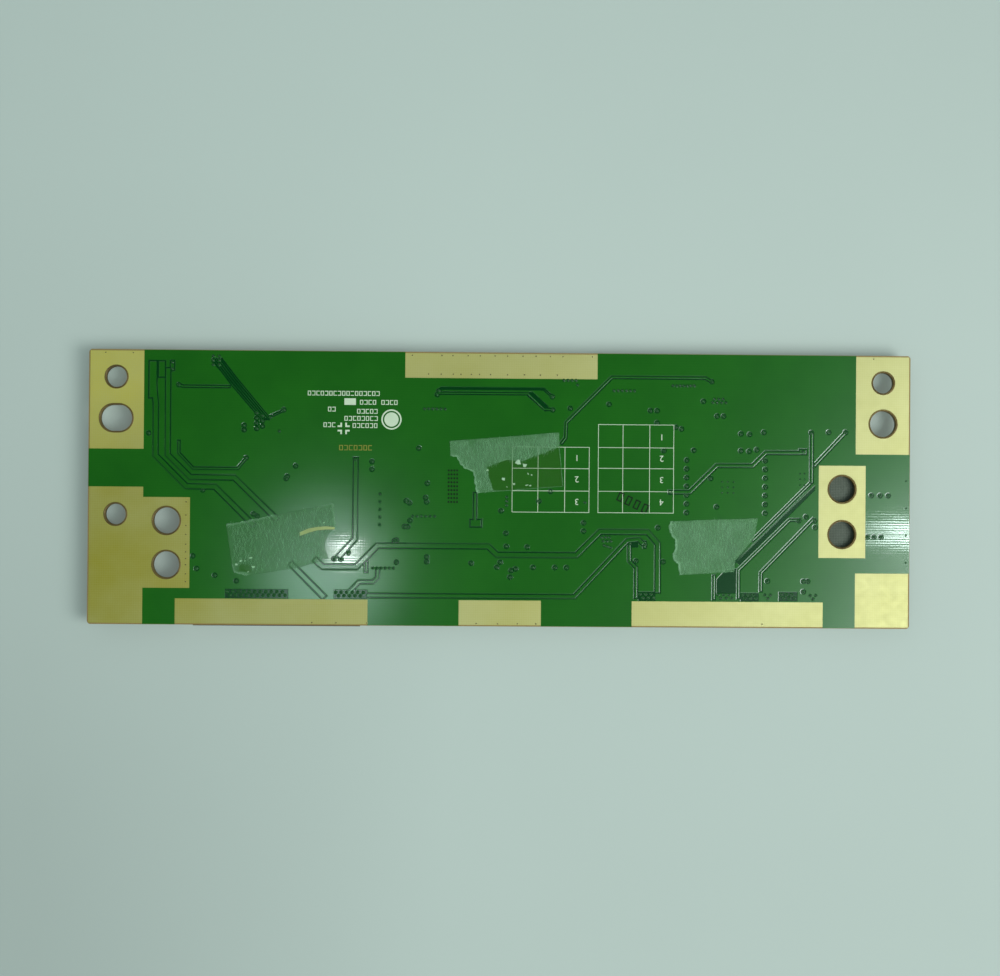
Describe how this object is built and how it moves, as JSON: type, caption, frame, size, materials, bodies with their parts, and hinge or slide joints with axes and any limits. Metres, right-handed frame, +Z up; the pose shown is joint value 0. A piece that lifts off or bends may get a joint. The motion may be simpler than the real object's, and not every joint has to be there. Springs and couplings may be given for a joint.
{
  "type": "timing controller board",
  "caption": "Long green circuit board lying solder side up, with gold ground pads, mounting holes, three strips of tape and flat cable connectors beneath.",
  "frame": {"origin": "on the plane the board rests on, under the middle of the board", "axes": "+X along the board, +Y towards the edge with the input connector, +Z up out of the solder side"},
  "size_m": [0.15, 0.0504, 0.0041],
  "materials": {
    "solder_mask_laminate": "green solder mask over copper on glass-epoxy laminate",
    "gold_plating": "thin matt gold over nickel, slightly tarnished",
    "tissue_tape": "translucent fibrous tissue with adhesive",
    "conductive_foam": "grey conductive cloth over foam",
    "connector_plastic": "natural liquid crystal polymer",
    "lever_plastic": "dark brown moulded",
    "gold_contacts": "gold flash over copper alloy",
    "shell_steel": "tinned sheet steel",
    "tinned_metal": "matt tin",
    "mould_compound": "black epoxy moulding",
    "ferrite": "dark grey sintered ferrite",
    "copper_winding": "enamelled copper wire",
    "capacitor_ceramic": "brown sintered ceramic",
    "chip_ceramic": "glazed alumina, dark top",
    "lid_metal": "plated welded lid"
  },
  "bodies": {
    "board": {"circuit_board": "solder_mask_laminate", "ground_pads": "gold_plating", "tape_left": "tissue_tape", "tape_middle": "tissue_tape", "tape_right": "tissue_tape", "grounding_gasket": "conductive_foam", "output_left_housing": "connector_plastic", "output_left_contacts": "gold_contacts", "output_left_tabs": "tinned_metal", "output_right_housing": "connector_plastic", "output_right_contacts": "gold_contacts", "output_right_tabs": "tinned_metal", "input_housing": "connector_plastic", "input_shell": "shell_steel", "input_contacts": "gold_contacts", "timing_controller_body": "mould_compound", "timing_controller_leads": "tinned_metal", "memory_body": "mould_compound", "memory_leads": "tinned_metal", "converter_body": "mould_compound", "converter_leads": "tinned_metal", "gamma_buffer_body": "mould_compound", "gamma_buffer_leads": "tinned_metal", "power_manager_body": "mould_compound", "power_manager_lands": "tinned_metal", "level_shifter_body": "mould_compound", "level_shifter_lands": "tinned_metal", "transistor_bodies": "mould_compound", "transistor_leads": "tinned_metal", "inductor_cores": "ferrite", "inductor_coils": "copper_winding", "inductor_terminals": "tinned_metal", "diode_bodies": "mould_compound", "diode_leads": "tinned_metal", "crystal_base": "chip_ceramic", "crystal_lid": "lid_metal", "bulk_capacitor_bodies": "capacitor_ceramic", "bulk_capacitor_terminals": "tinned_metal", "medium_capacitor_bodies": "capacitor_ceramic", "medium_capacitor_terminals": "tinned_metal", "small_capacitor_bodies": "capacitor_ceramic", "small_capacitor_terminals": "tinned_metal", "resistor_bodies": "chip_ceramic", "resistor_terminals": "tinned_metal", "bead_bodies": "ferrite", "bead_terminals": "tinned_metal", "fuse_bodies": "chip_ceramic", "fuse_terminals": "tinned_metal"},
    "left_lever": {"output_left_lever": "lever_plastic"},
    "right_lever": {"output_right_lever": "lever_plastic"}
  },
  "joints": [
    {"name": "left_lever_hinge", "type": "hinge", "parent": "board", "child": "left_lever", "pos_m": [-0.041, -0.0228, 0.0007], "axis": [1, 0, 0], "range_deg": [0, 90]},
    {"name": "right_lever_hinge", "type": "hinge", "parent": "board", "child": "right_lever", "pos_m": [0.0415, -0.0223, 0.0007], "axis": [1, 0, 0], "range_deg": [0, 90]}
  ]
}
